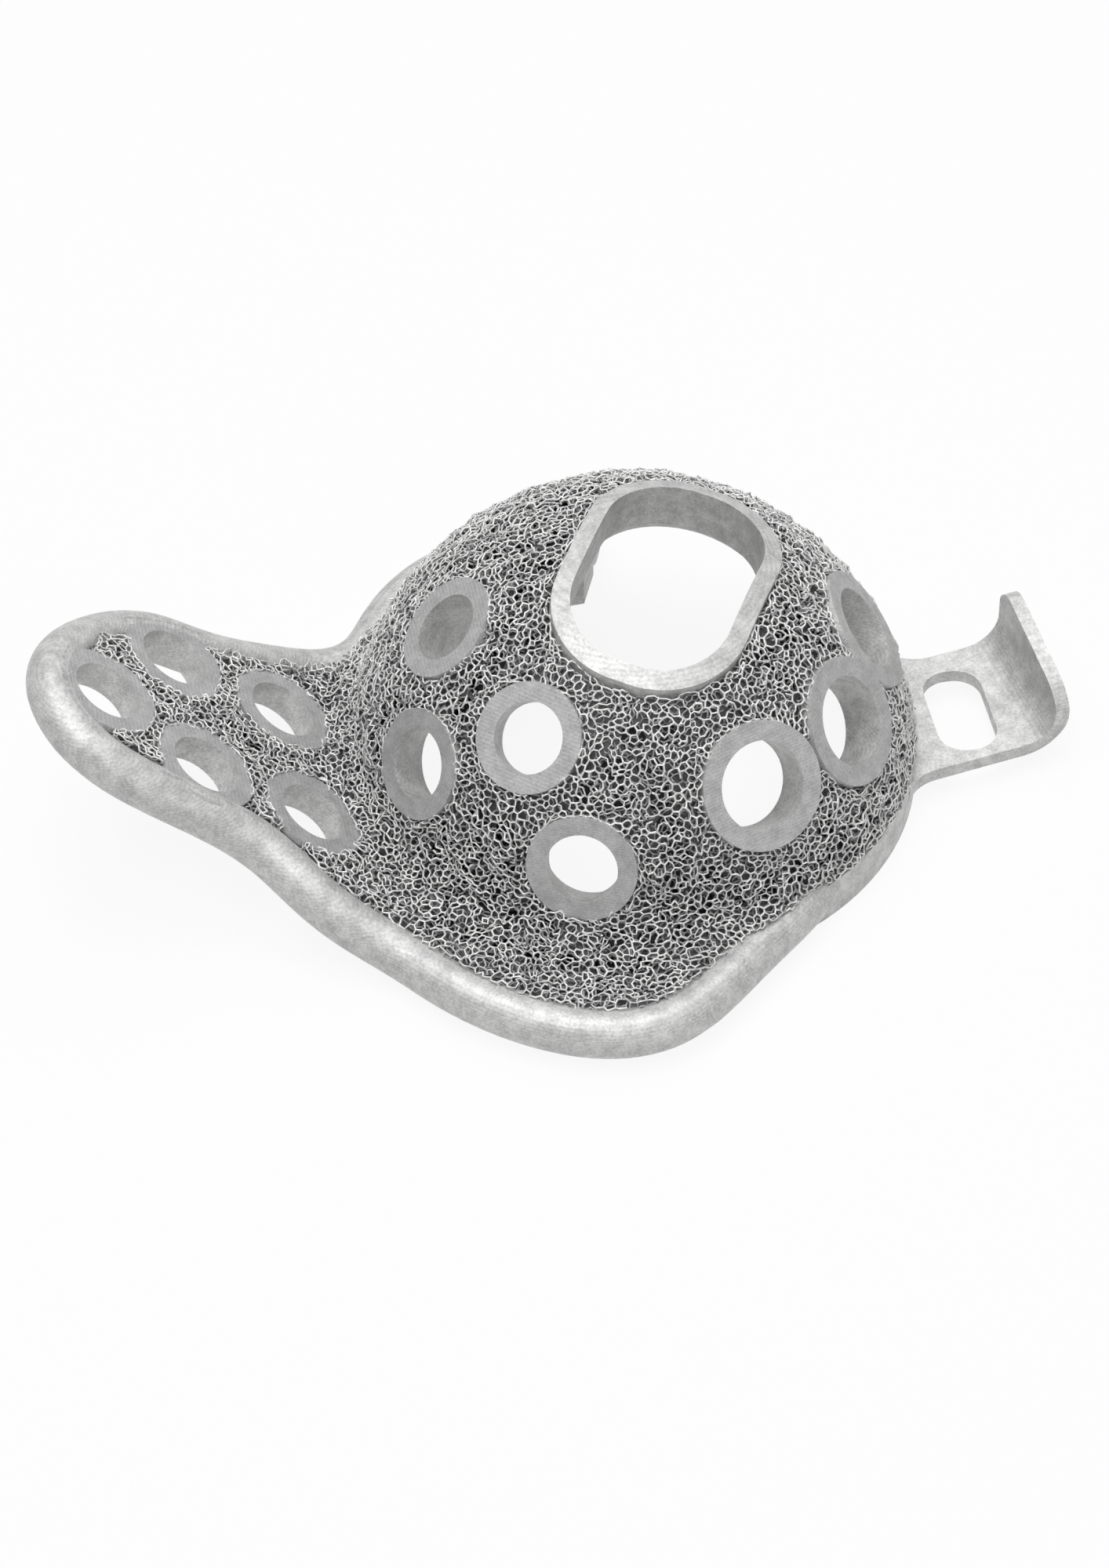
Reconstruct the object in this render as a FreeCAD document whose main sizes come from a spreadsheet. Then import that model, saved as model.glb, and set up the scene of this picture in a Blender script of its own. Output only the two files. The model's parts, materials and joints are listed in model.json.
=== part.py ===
import FreeCAD, Part

import math
import os

from FreeCAD import Placement, Rotation, Vector

# Hip socket revision cage, printed in titanium as one piece: a porous dome with screw
# bores, a window near its pole and an arch in its wall at the back, a porous lobe and a
# raised flange with a rolled rim round both, and a thin slotted strap that ends in a hook.
#
# Frame: the origin is the centre of the dome's sphere, +Z its pole. The cup's mouth faces
# down, the flange reaches out to -X and the strap to +X. Lengths are in millimetres and
# angles in degrees; an azimuth is measured from +X towards +Y.

SIZES = {
    # dome and cup
    "dome_radius": 32.0,
    "wall": 4.7,
    "mouth_level": -2.0,
    "band_height": 5.0,
    "skin_recess": 0.8,
    # lobe, flange and rim
    "rim_radius": 2.7,
    "rim_level": 1.2,
    "sheet_above": 1.9,
    "sheet_below": 0.8,
    "flange_heading": 192.0,
    "flange_rise": 35.0,
    "flange_inset": 3.2,
    "flange_bend": 12.0,
    "lobe_valley": 7.0,
    "flange_valley": 4.0,
    "valley_bite": 0.2,
    # bores with their bosses
    "boss_sink": 0.4,
    "boss_depth": 3.1,
    "flange_boss_above": 2.6,
    "spotface_height": 4.0,
    "drill_reach": 10.0,
    "small_bore": 4.0,
    "small_boss": 6.15,
    "large_bore": 5.0,
    "large_boss": 7.2,
    "seat_start": 2.2,
    "seat_flare": 20.0,
    # window
    "window_azimuth": -27.8,
    "window_elevation": 81.6,
    "window_turn": -18.9,
    "window_width": 18.0,
    "window_length": 27.4,
    "window_corner": 8.2,
    "collar_wall": 2.0,
    "collar_proud": 0.6,
    # arch in the cup's wall at the back
    "arch_azimuth": 78.0,
    "arch_radius": 11.0,
    "arch_level": 2.0,
    # coarse pores of the lattice
    "pore_pitch": 3.8,
    "pore_radius": 1.5,
    "pore_depth": 1.2,
    "pore_margin": 0.5,
    # strap and hook
    "strap_heading": 21.0,
    "strap_top": 2.0,
    "strap_thickness": 1.6,
    "strap_near": -16.4,
    "strap_far": 0.6,
    "strap_flare": 5.0,
    "hook_reach": 14.6,
    "hook_bend": 4.0,
    "hook_height": 9.0,
    "hook_slope": 4.0,
    "hook_corner": 2.5,
    "slot_width": 6.8,
    "slot_length": 12.8,
    "slot_corner": 3.1,
    "slot_reach": 4.4,
    "slot_offset": -8.6,
    "slot_turn": -9.0,
}

# Bores of the dome: name, azimuth, elevation, kind.
DOME_BORES = (
    ("back_left", -168.8, 48.8, "small"),
    ("left", -146.1, 26.7, "small"),
    ("front_left", -119.8, 44.4, "small"),
    ("front_low", -100.7, 21.1, "small"),
    ("front_right", -57.6, 33.4, "large"),
    ("right", -26.1, 32.3, "large"),
    ("back_right", 3.9, 34.7, "large"),
)

# Bores of the flange: name, and the centre of the boss's face in plan, as azimuth and reach
# beyond the dome's radius.
FLANGE_BORES = (
    ("tip_back", 181.4, 18.7),
    ("tip_front", 192.5, 26.4),
    ("root_back", 181.9, 7.0),
    ("middle_front", 200.6, 17.6),
    ("root_front", 205.9, 6.9),
)

# Line of the rolled rim in plan: azimuth, and reach beyond the dome's radius. Both ends run
# in through the wall of the dome.
RIM_LINE = (
    (36.0, -8.5),
    (42.0, -4.5),
    (50.0, -1.9),
    (60.0, -0.5),
    (75.0, 0.6),
    (105.0, 2.6),
    (130.0, 4.0),
    (145.0, 2.8),
    (154.5, 2.2),
    (159.5, 3.6),
    (163.0, 5.9),
    (168.5, 10.0),
    (172.0, 13.4),
    (174.5, 17.8),
    (176.0, 22.0),
    (179.6, 26.1),
    (185.0, 30.1),
    (190.5, 32.3),
    (195.5, 32.1),
    (199.8, 29.9),
    (202.6, 26.3),
    (204.6, 22.4),
    (207.2, 18.0),
    (211.5, 14.5),
    (217.5, 12.8),
    (224.5, 10.7),
    (231.5, 9.0),
    (240.5, 9.5),
    (251.0, 10.8),
    (260.0, 11.7),
    (268.0, 11.8),
    (275.0, 10.5),
    (281.0, 7.9),
    (287.5, 4.6),
    (295.0, 1.7),
    (304.0, -0.5),
    (312.0, -2.3),
    (319.0, -4.8),
    (325.0, -8.5),
)

doc = FreeCAD.newDocument("hip_socket_cage")
sheet = doc.addObject("Spreadsheet::Sheet", "Sizes")
for row, (alias, number) in enumerate(SIZES.items(), start=1):
    sheet.set(f"A{row}", alias.replace("_", " "))
    sheet.set(f"B{row}", str(number))
    sheet.setAlias(f"B{row}", alias)
doc.recompute()


def size(alias):
    """Value of one cell of the sheet."""
    return float(sheet.get(alias))


def from_dome(alias):
    """Distance from the dome's centre of what the sheet gives beyond the dome's radius."""
    return size("dome_radius") + size(alias)


def cup_radius():
    """Radius of the cup inside the dome's wall."""
    return size("dome_radius") - size("wall")


def add(kind, name, placement=Placement(), **bindings):
    """One object of the document, with its sizes bound to cells of the sheet."""
    item = doc.addObject(kind, name)
    for quantity, formula in bindings.items():
        item.setExpression(quantity, formula)
    item.Placement = placement
    return item


def add_shape(name, shape):
    """A form that primitives and sketches don't give, worked out from the sheet."""
    item = doc.addObject("Part::Feature", name)
    item.Shape = shape
    return item


def join(name, items):
    """Union of several objects."""
    item = doc.addObject("Part::MultiFuse", name)
    item.Shapes = items
    return item


def meet(name, items):
    """Intersection of several objects."""
    item = doc.addObject("Part::MultiCommon", name)
    item.Shapes = items
    return item


def cut(name, base, tool):
    """One object less another."""
    item = doc.addObject("Part::Cut", name)
    item.Base = base
    item.Tool = tool
    return item


def direction(azimuth, elevation):
    """Unit vector from the dome's centre."""
    flat = math.cos(math.radians(elevation))
    return Vector(
        flat * math.cos(math.radians(azimuth)),
        flat * math.sin(math.radians(azimuth)),
        math.sin(math.radians(elevation)),
    )


def along(axis, base=Vector()):
    """Placement that stands a primitive's own Z on an axis."""
    return Placement(base, Rotation(Vector(0, 0, 1), axis))


def rounded_outline(corners):
    """Closed wire of straight runs and tangent arcs from (point, radius) corners."""
    edges = []
    count = len(corners)
    starts = []
    ends = []
    arcs = []
    for number, (corner, radius) in enumerate(corners):
        to_last = (corners[number - 1][0] - corner).normalize()
        to_next = (corners[(number + 1) % count][0] - corner).normalize()
        half_angle = to_last.getAngle(to_next) / 2
        setback = radius / math.tan(half_angle)
        start = corner + to_last * setback
        end = corner + to_next * setback
        inward = (to_last + to_next).normalize()
        middle = corner + inward * (radius / math.sin(half_angle) - radius)
        starts.append(start)
        ends.append(end)
        arcs.append(Part.Arc(start, middle, end).toShape() if radius > 0 else None)
    for number in range(count):
        if arcs[number]:
            edges.append(arcs[number])
        following = starts[(number + 1) % count]
        if (following - ends[number]).Length > 1e-6:
            edges.append(Part.makeLine(ends[number], following))
    return Part.Wire(Part.__sortEdges__(edges))


def prism(wire, low, high):
    """Solid over a flat wire in the XY plane, from one height to another."""
    face = Part.Face(wire)
    face.translate(Vector(0, 0, low))
    return face.extrude(Vector(0, 0, high - low))


# The bent mid-surface that the lobe and the flange share: level near the cup, then a bend,
# then a straight rise along the flange's heading.

HEADING = direction(size("flange_heading"), 0.0)
RISE = math.radians(size("flange_rise"))
FLANGE_NORMAL = Vector(0, 0, 1) * math.cos(RISE) - HEADING * math.sin(RISE)
SHEET_END = 3 * size("dome_radius")
RIM_SECTIONS = 56


def flange_start():
    """Distance from the dome's axis at which the flange begins to bend up."""
    return size("dome_radius") - size("flange_inset")


def sheet_height(point):
    """Height of the mid-surface over a point of the plan."""
    run = point.dot(HEADING) - flange_start()
    bend = size("flange_bend")
    if run <= 0:
        return size("rim_level")
    if run < bend * math.sin(RISE):
        return size("rim_level") + bend - math.sqrt(bend**2 - run**2)
    lift = bend * (1 - math.cos(RISE)) + (run - bend * math.sin(RISE)) * math.tan(RISE)
    return size("rim_level") + lift


def rim_points():
    """Points of the rim's line, on the mid-surface."""
    points = []
    for azimuth, reach in RIM_LINE:
        point = direction(azimuth, 0.0) * (size("dome_radius") + reach)
        point.z = sheet_height(point)
        points.append(point)
    return points


def rim_curve(points):
    """Smooth open curve through the points."""
    curve = Part.BSplineCurve()
    curve.interpolate(Points=points)
    return curve


def plan_outline():
    """The rim's line in plan, closed through the dome."""
    flat = [Vector(point.x, point.y, 0) for point in rim_points()]
    return Part.Wire([rim_curve(flat).toShape(), Part.makeLine(flat[-1], flat[0])])


def plan_prism(low, high):
    """Everything inside the rim's line in plan."""
    return prism(plan_outline(), low, high)


def bent_strip(above, below):
    """Sheet of the lobe and flange before its outline is cut: a bent strip."""
    level = size("rim_level")
    start = flange_start()
    bend = size("flange_bend")
    centre = Vector(start, 0, level + bend)

    def offset_line(offset):
        """The three stretches of the strip's section at one offset from its middle."""
        radius = bend - offset
        middle = centre + Vector(math.sin(RISE / 2), 0, -math.cos(RISE / 2)) * radius
        bend_start = Vector(start, 0, level + offset)
        bend_end = centre + Vector(math.sin(RISE), 0, -math.cos(RISE)) * radius
        outward = Vector(math.cos(RISE), 0, math.sin(RISE))
        far_end = bend_end + outward * (SHEET_END - start)
        near_end = Vector(-SHEET_END, 0, level + offset)
        return near_end, bend_start, middle, bend_end, far_end

    top = offset_line(above)
    bottom = offset_line(-below)
    section = Part.Wire([
        Part.makeLine(top[0], top[1]),
        Part.Arc(top[1], top[2], top[3]).toShape(),
        Part.makeLine(top[3], top[4]),
        Part.makeLine(top[4], bottom[4]),
        Part.makeLine(bottom[4], bottom[3]),
        Part.Arc(bottom[3], bottom[2], bottom[1]).toShape(),
        Part.makeLine(bottom[1], bottom[0]),
        Part.makeLine(bottom[0], top[0]),
    ])
    strip = Part.Face(section)
    strip.translate(Vector(0, -SHEET_END, 0))
    strip = strip.extrude(Vector(0, 2 * SHEET_END, 0))
    strip.rotate(Vector(), Vector(0, 0, 1), size("flange_heading"))
    return strip


def rolled_rim():
    """Round bead along the rim's line, lofted through circles square to it."""
    curve = rim_curve(rim_points())
    first = curve.FirstParameter
    step = (curve.LastParameter - first) / (RIM_SECTIONS - 1)
    circles = []
    for number in range(RIM_SECTIONS):
        parameter = first + number * step
        tangent = Vector(curve.tangent(parameter)[0])
        upward = Vector(0, 0, 1)
        frame = Rotation(upward.cross(tangent), upward, tangent, "ZYX")
        circle = Part.makeCircle(size("rim_radius"))
        circle.Placement = Placement(curve.value(parameter), frame)
        circles.append(Part.Wire(circle))
    return Part.makeLoft(circles, True)


def flange_level():
    """Distance of the flange's straight mid-surface from the dome's centre."""
    point = HEADING * (flange_start() + 2 * size("flange_bend"))
    point.z = sheet_height(point)
    return point.dot(FLANGE_NORMAL)


def valley_centre(sheet_level, valley_radius):
    """Centre of a valley's arc: its reach from the valley's axis and its level on it."""
    skin = size("dome_radius") - size("skin_recess") - size("valley_bite")
    level = sheet_level + size("sheet_above") - size("valley_bite") + valley_radius
    return math.sqrt((skin + valley_radius) ** 2 - level**2), level


def valley_fill(sheet_level, valley_radius, axis):
    """Ring that rounds the valley between the dome and a flat sheet, and bites into both.

    The sheet's middle lies square to the axis, at a signed distance from the dome's centre.
    """
    skin = size("dome_radius") - size("skin_recess") - size("valley_bite")
    arc_reach, arc_level = valley_centre(sheet_level, valley_radius)
    plane_level = arc_level - valley_radius
    arc_centre = Vector(arc_reach, 0, arc_level)
    on_dome = arc_centre * (skin / (skin + valley_radius))
    on_sheet = Vector(arc_reach, 0, plane_level)
    aim = ((on_dome - arc_centre).normalize() + Vector(0, 0, -1)).normalize()
    wall = size("sheet_above") + size("sheet_below")
    inner = cup_radius() - wall
    under = plane_level - wall / 2
    section = Part.Wire([
        Part.Arc(on_dome, arc_centre + aim * valley_radius, on_sheet).toShape(),
        Part.makeLine(on_sheet, Vector(arc_reach, 0, under)),
        Part.makeLine(Vector(arc_reach, 0, under), Vector(inner, 0, under)),
        Part.makeLine(Vector(inner, 0, under), on_dome),
    ])
    ring = Part.Face(section).revolve(Vector(), Vector(0, 0, 1), 360)
    ring.Placement = along(axis)
    return ring


def strap_web(edge, outward):
    """Web that rounds the corner between one edge of the strap and the dome's wall."""
    wall = size("dome_radius")
    flare = size("strap_flare")
    centre_side = edge + outward * flare
    centre = Vector(math.sqrt((wall + flare) ** 2 - centre_side**2), centre_side, 0)
    on_wall = centre * (wall / (wall + flare))
    on_edge = Vector(centre.x, edge, 0)
    aim = ((on_wall - centre).normalize() + (on_edge - centre).normalize()).normalize()
    inside = Vector(cup_radius() - size("strap_thickness"), edge, 0)
    outline = Part.Wire([
        Part.Arc(on_wall, centre + aim * flare, on_edge).toShape(),
        Part.makeLine(on_edge, inside),
        Part.makeLine(inside, on_wall),
    ])
    return prism(outline, size("strap_top") - size("strap_thickness"), size("strap_top"))


def strap():
    """Thin strap that runs from inside the rim to a hook turned up square to it."""
    top = size("strap_top")
    thick = size("strap_thickness")
    inner = size("hook_bend")
    outer = inner + thick
    reach = from_dome("hook_reach")
    near = size("strap_near")
    far = size("strap_far")
    turn = Vector(reach - outer, 0, top + inner)
    aim = Vector(1, 0, -1).normalize()
    peak = top + size("hook_height") + thick
    root = Vector(cup_radius() / 2, 0, top)
    section = Part.Wire([
        Part.makeLine(root, Vector(turn.x, 0, top)),
        Part.Arc(
            Vector(turn.x, 0, top), turn + aim * inner, Vector(reach - thick, 0, turn.z)
        ).toShape(),
        Part.makeLine(Vector(reach - thick, 0, turn.z), Vector(reach - thick, 0, peak)),
        Part.makeLine(Vector(reach - thick, 0, peak), Vector(reach, 0, peak)),
        Part.makeLine(Vector(reach, 0, peak), Vector(reach, 0, turn.z)),
        Part.Arc(
            Vector(reach, 0, turn.z), turn + aim * outer, Vector(turn.x, 0, top - thick)
        ).toShape(),
        Part.makeLine(Vector(turn.x, 0, top - thick), root - Vector(0, 0, thick)),
        Part.makeLine(root - Vector(0, 0, thick), root),
    ])
    blank = Part.Face(section)
    blank.translate(Vector(0, near - thick, 0))
    blank = blank.extrude(Vector(0, far - near + 2 * thick, 0))
    corner = size("hook_corner")
    height = size("hook_height")
    side = rounded_outline([
        (Vector(top - outer, near), 0.0),
        (Vector(top + height - size("hook_slope"), near), 2 * corner),
        (Vector(top + height, far), corner),
        (Vector(top - outer, far), 0.0),
    ])
    side = prism(side, -2 * reach, 2 * reach)
    side.rotate(Vector(), Vector(0, 1, 0), -90)
    body = blank.common(side)
    webs = [strap_web(near, -1), strap_web(far, 1)]
    half_width = size("slot_width") / 2
    half_length = size("slot_length") / 2
    slot = prism(
        rounded_outline([
            (Vector(x * half_width, y * half_length), size("slot_corner"))
            for x, y in ((-1, -1), (1, -1), (1, 1), (-1, 1))
        ]),
        -outer,
        outer,
    )
    slot.rotate(Vector(), Vector(0, 0, 1), size("slot_turn"))
    slot.translate(Vector(from_dome("slot_reach"), size("slot_offset"), top))
    body = body.fuse(webs).cut(slot)
    body.rotate(Vector(), Vector(0, 0, 1), size("strap_heading"))
    return body.removeSplitter()


def window_frame():
    """Placement of the window: its axis as Z, its flats along Y."""
    axis = direction(size("window_azimuth"), size("window_elevation"))
    turn = Placement(Vector(), Rotation(Vector(0, 0, 1), size("window_turn")))
    return along(axis).multiply(turn)


def window_prism(margin):
    """Block along the window's axis: two flats with round ends, grown by a margin."""
    half_width = size("window_width") / 2 + margin
    half_length = size("window_length") / 2 + margin
    outline = rounded_outline([
        (Vector(x * half_width, y * half_length), size("window_corner") + margin)
        for x, y in ((-1, -1), (1, -1), (1, 1), (-1, 1))
    ])
    block = prism(outline, cup_radius() / 2, 1.5 * size("dome_radius"))
    block.Placement = window_frame().multiply(block.Placement)
    return block


class Bore:
    """One screw bore: the centre of its boss's face, its axis and its sizes."""

    def __init__(self, name, face, axis, root, kind, seated):
        self.name = name
        self.face = face
        self.axis = axis
        self.root = root
        self.kind = kind
        self.seated = seated


def all_bores():
    """Bores of the dome, square to its sphere, and of the flange, square to its sheet."""
    bores = []
    for name, azimuth, elevation, kind in DOME_BORES:
        axis = direction(azimuth, elevation)
        face = axis * (size("dome_radius") - size("boss_sink"))
        bores.append(Bore(name, face, axis, size("boss_depth"), kind, kind == "small"))
    for name, azimuth, reach in FLANGE_BORES:
        face = direction(azimuth, 0.0) * (size("dome_radius") + reach)
        face.z = sheet_height(face) + size("flange_boss_above") / math.cos(RISE)
        root = size("flange_boss_above") + size("sheet_below")
        bores.append(Bore(name, face, FLANGE_NORMAL, root, "small", False))
    return bores


# Coarse pores of the lattice: hexagonal pits in rows over the dome, down the valley of the
# lobe and on the flange. A spot is a pore's centre on the skin and the skin's normal there.


def ring_of_spots(reach, level, rise, row):
    """Even spots round the dome's axis; every other row is turned by half a pitch."""
    count = int(2 * math.pi * reach / size("pore_pitch"))
    for number in range(count):
        azimuth = 360 * (number + (row % 2) / 2) / count
        centre = direction(azimuth, 0.0) * reach + Vector(0, 0, level)
        yield centre, direction(azimuth, rise)


def row_step(radius):
    """Angle between two rows of pores on an arc of the given radius."""
    return math.degrees(size("pore_pitch") * math.sin(math.pi / 3) / radius)


def dome_spots():
    """Rows from above the lobe's valley to the pole."""
    skin = size("dome_radius") - size("skin_recess")
    reach, level = valley_centre(size("rim_level"), size("lobe_valley"))
    elevation = math.degrees(math.atan2(level, reach)) + row_step(skin) / 2
    row = 0
    while elevation < 90 - row_step(skin):
        centre = direction(0.0, elevation) * skin
        yield from ring_of_spots(centre.x, centre.z, elevation, row)
        elevation += row_step(skin)
        row += 1


def lobe_spots():
    """Rows down the valley of the lobe, and one on the level sheet at its foot."""
    radius = size("lobe_valley")
    reach, level = valley_centre(size("rim_level"), radius)
    rise = math.degrees(math.atan2(level, reach)) + row_step(radius) / 2
    row = 1
    while rise < 90:
        centre = Vector(reach, 0, level) - direction(0.0, rise) * radius
        yield from ring_of_spots(centre.x, centre.z, rise, row)
        rise += row_step(radius)
        row += 1
    run_out = math.radians(rise - 90) * radius
    yield from ring_of_spots(reach + run_out, level - radius, 90.0, row)


def flange_spots():
    """Grid over the straight rise of the flange, outside its valley."""
    pitch = size("pore_pitch")
    across = Vector(0, 0, 1).cross(HEADING)
    start = flange_start() + size("flange_bend") * math.sin(RISE) + pitch / 2
    step = pitch * math.sin(math.pi / 3) * math.cos(RISE)
    valley_reach = valley_centre(flange_level(), size("flange_valley"))[0]
    columns = int(size("dome_radius") / pitch)
    for row in range(2 * columns):
        for column in range(-columns, columns):
            centre = HEADING * (start + row * step)
            centre += across * pitch * (column + (row % 2) / 2)
            centre.z = sheet_height(centre) + size("sheet_above") / math.cos(RISE)
            if FLANGE_NORMAL.cross(centre).Length > valley_reach:
                yield centre, FLANGE_NORMAL


def misses_bores(centre, bores, margin):
    """Whether a spot keeps its margin from every boss."""
    for bore in bores:
        offset = centre - bore.face
        near = abs(offset.dot(bore.axis)) < size("drill_reach")
        if near and bore.axis.cross(offset).Length < size(f"{bore.kind}_boss") + margin:
            return False
    return True


def misses_openings(centre, margin):
    """Whether a spot keeps its margin from the window's collar and from the arch."""
    local = window_frame().inverse().multVec(centre)
    corner = size("window_corner")
    past_flat = max(abs(local.x) - size("window_width") / 2 + corner, 0)
    past_end = max(abs(local.y) - size("window_length") / 2 + corner, 0)
    if math.hypot(past_flat, past_end) < corner + size("collar_wall") + margin:
        return False
    outward = direction(size("arch_azimuth"), 0.0)
    beside_arch = outward.cross(Vector(centre.x, centre.y, 0)).Length
    over_arch = centre.z - size("arch_level") - size("arch_radius")
    behind = centre.dot(outward) < 0
    return behind or beside_arch > size("arch_radius") + margin or over_arch > margin


def misses_sheet(centre, outline, margin):
    """Whether a spot of the dome clears the flange's valley, or one beyond it the rim."""
    flat = Vector(centre.x, centre.y, 0)
    if flat.Length < size("dome_radius"):
        above_flange = centre.dot(FLANGE_NORMAL) - flange_level() - size("sheet_above")
        return centre.dot(HEADING) < 0 or above_flange > size("flange_valley") + margin
    if not outline.isInside(flat, 1e-3, True):
        return False
    beside_rim = Part.Vertex(flat).distToShape(outline.OuterWire)[0]
    return beside_rim > size("rim_radius") + margin


def pore_spots():
    """Every spot at which a pore has room."""
    margin = size("pore_radius") + size("pore_margin")
    bores = all_bores()
    outline = Part.Face(plan_outline())
    level_end = flange_start() - margin
    spots = [spot for spot in lobe_spots() if spot[0].dot(HEADING) < level_end]
    return [
        (centre, normal)
        for centre, normal in [*dome_spots(), *spots, *flange_spots()]
        if misses_bores(centre, bores, margin)
        and misses_openings(centre, margin)
        and misses_sheet(centre, outline, margin)
    ]


# The dome's wall: a ball with a slightly proud band at its rim, less the cup.

CUP_RADIUS = "Sizes.dome_radius - Sizes.wall"
WALL_CORE = "Sizes.dome_radius - (Sizes.wall + Sizes.skin_recess) / 2"


def below_centre(name, radius):
    """Cylinder that carries a ball's widest section down past the mouth."""
    base = Placement(Vector(0, 0, -size("dome_radius")), Rotation())
    return add("Part::Cylinder", name, base, Radius=radius, Height="Sizes.dome_radius")


skin = add("Part::Sphere", "dome_skin", Radius="Sizes.dome_radius - Sizes.skin_recess")
band_ball = add("Part::Sphere", "rim_band_ball", Radius="Sizes.dome_radius")
band_slab = add(
    "Part::Cylinder",
    "rim_band_slab",
    Placement(Vector(0, 0, size("mouth_level") - size("band_height")), Rotation()),
    Radius="2 * Sizes.dome_radius",
    Height="2 * Sizes.band_height",
)
below = add(
    "Part::Cylinder",
    "below_mouth",
    Placement(Vector(0, 0, size("mouth_level") - 2 * size("dome_radius")), Rotation()),
    Radius="3 * Sizes.dome_radius",
    Height="2 * Sizes.dome_radius",
)
cup_ball = add("Part::Sphere", "cup_ball", Radius=CUP_RADIUS)
cup_mouth = below_centre("cup_mouth", CUP_RADIUS)
shell = cut(
    "dome_wall",
    join("dome_outside", [skin, meet("rim_band", [band_ball, band_slab])]),
    join("cup_inside", [cup_ball, cup_mouth, below]),
)

# What the dome carries: the bent sheet, its rim and valleys, the bosses, the collar of
# the window and the strap. All of it ends inside the dome's wall.

strip = add_shape("sheet_strip", bent_strip(size("sheet_above"), size("sheet_below")))
plan = add_shape("sheet_plan", plan_prism(-size("dome_radius"), 2 * size("dome_radius")))
carried = [
    meet("sheet", [strip, plan]),
    add_shape("rolled_rim", rolled_rim()),
    add_shape("strap", strap()),
]

collar_ball = add(
    "Part::Sphere", "collar_ball", Radius="Sizes.dome_radius + Sizes.collar_proud"
)
collar_block = add_shape("collar_block", window_prism(size("collar_wall")))
carried.append(meet("window_collar", [collar_ball, collar_block]))

# The small bores of the dome widen into a conical seat towards the cup.

SEAT_RADIUS = (
    "Sizes.small_bore + (Sizes.drill_reach - Sizes.seat_start) * tan(Sizes.seat_flare * 1deg)"
)
spotfaces = []
drills = []
for bore in all_bores():
    on_face = along(bore.axis, bore.face)
    root = along(bore.axis, bore.face - bore.axis * bore.root)
    behind = along(bore.axis, bore.face - bore.axis * size("drill_reach"))
    boss_radius = f"Sizes.{bore.kind}_boss"
    boss = add("Part::Cylinder", f"{bore.name}_boss", root, Radius=boss_radius)
    boss.Height = bore.root
    carried.append(boss)
    spotfaces.append(add(
        "Part::Cylinder",
        f"{bore.name}_spotface",
        on_face,
        Radius=boss_radius,
        Height="Sizes.spotface_height",
    ))
    drills.append(add(
        "Part::Cylinder",
        f"{bore.name}_drill",
        behind,
        Radius=f"Sizes.{bore.kind}_bore",
        Height="Sizes.drill_reach + Sizes.spotface_height",
    ))
    if bore.seated:
        drills.append(add(
            "Part::Cone",
            f"{bore.name}_seat",
            behind,
            Radius1=SEAT_RADIUS,
            Radius2="Sizes.small_bore",
            Height="Sizes.drill_reach - Sizes.seat_start",
        ))

all_spotfaces = join("spotfaces", spotfaces)
valleys = (
    ("lobe", size("rim_level"), size("lobe_valley"), Vector(0, 0, 1)),
    ("flange", flange_level(), size("flange_valley"), FLANGE_NORMAL),
)
for name, level, radius, axis in valleys:
    ring = valley_fill(level, radius, axis)
    ring = meet(f"{name}_valley_whole", [add_shape(f"{name}_valley_ring", ring), plan])
    carried.append(cut(f"{name}_valley", ring, all_spotfaces))

core = join("wall_core", [
    add("Part::Sphere", "core_ball", Radius=WALL_CORE),
    below_centre("core_mouth", WALL_CORE),
    below,
])
outworks = [cut(f"{item.Name}_outside", item, core) for item in carried]

# The window, the arch and the bores go through everything.

window = add_shape("window", window_prism(0))
outward = direction(size("arch_azimuth"), 0.0)
arch_start = outward * (cup_radius() / 2) + Vector(0, 0, size("arch_level"))
arch_top = add(
    "Part::Cylinder",
    "arch_top",
    along(outward, arch_start),
    Radius="Sizes.arch_radius",
    Height="Sizes.dome_radius",
)
arch_sides = add(
    "Part::Box",
    "arch_sides",
    Placement(arch_start, Rotation(Vector(0, 0, 1), size("arch_azimuth"))).multiply(
        Placement(Vector(0, -size("arch_radius"), -size("arch_radius")), Rotation())
    ),
    Length="Sizes.dome_radius",
    Width="2 * Sizes.arch_radius",
    Height="Sizes.arch_radius",
)
whole = join("whole", [shell, join("outworks", outworks)])
open_cage = cut("open_cage", whole, join("holes", [window, arch_top, arch_sides] + drills))

# The coarse pores are cut last. None touches another, so they stay a plain compound.

pores = []
for centre, normal in pore_spots():
    pore = add(
        "Part::Prism",
        f"pore_{len(pores)}",
        along(normal, centre - normal * size("pore_depth")),
        Circumradius="Sizes.pore_radius",
        Height="2 * Sizes.pore_depth",
    )
    pore.Polygon = 6
    pores.append(pore)
all_pores = doc.addObject("Part::Compound", "pores")
all_pores.Links = pores
cage = cut("cage", open_cage, all_pores)
cage.Label = "acetabular_cage"

doc.recompute()

for item in doc.Objects:
    if "Invalid" in item.State or "Error" in item.State:
        raise RuntimeError(f"{item.Name} could not be made: {item.State}")

os.makedirs("parts", exist_ok=True)
for part in [cage]:
    shape = part.Shape
    if shape.isNull() or not shape.isValid():
        raise RuntimeError(f"{part.Label} has no valid shape")
    if len(shape.Solids) != 1:
        raise RuntimeError(f"{part.Label} is {len(shape.Solids)} solids, not one")
    shape.exportStep(f"parts/{part.Label}.step")
    box = shape.BoundBox
    print(part.Label, "volume", round(shape.Volume), "faces", len(shape.Faces))
    print("  x", round(box.XMin, 2), round(box.XMax, 2), "y", round(box.YMin, 2),
          round(box.YMax, 2), "z", round(box.ZMin, 2), round(box.ZMax, 2))
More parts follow.
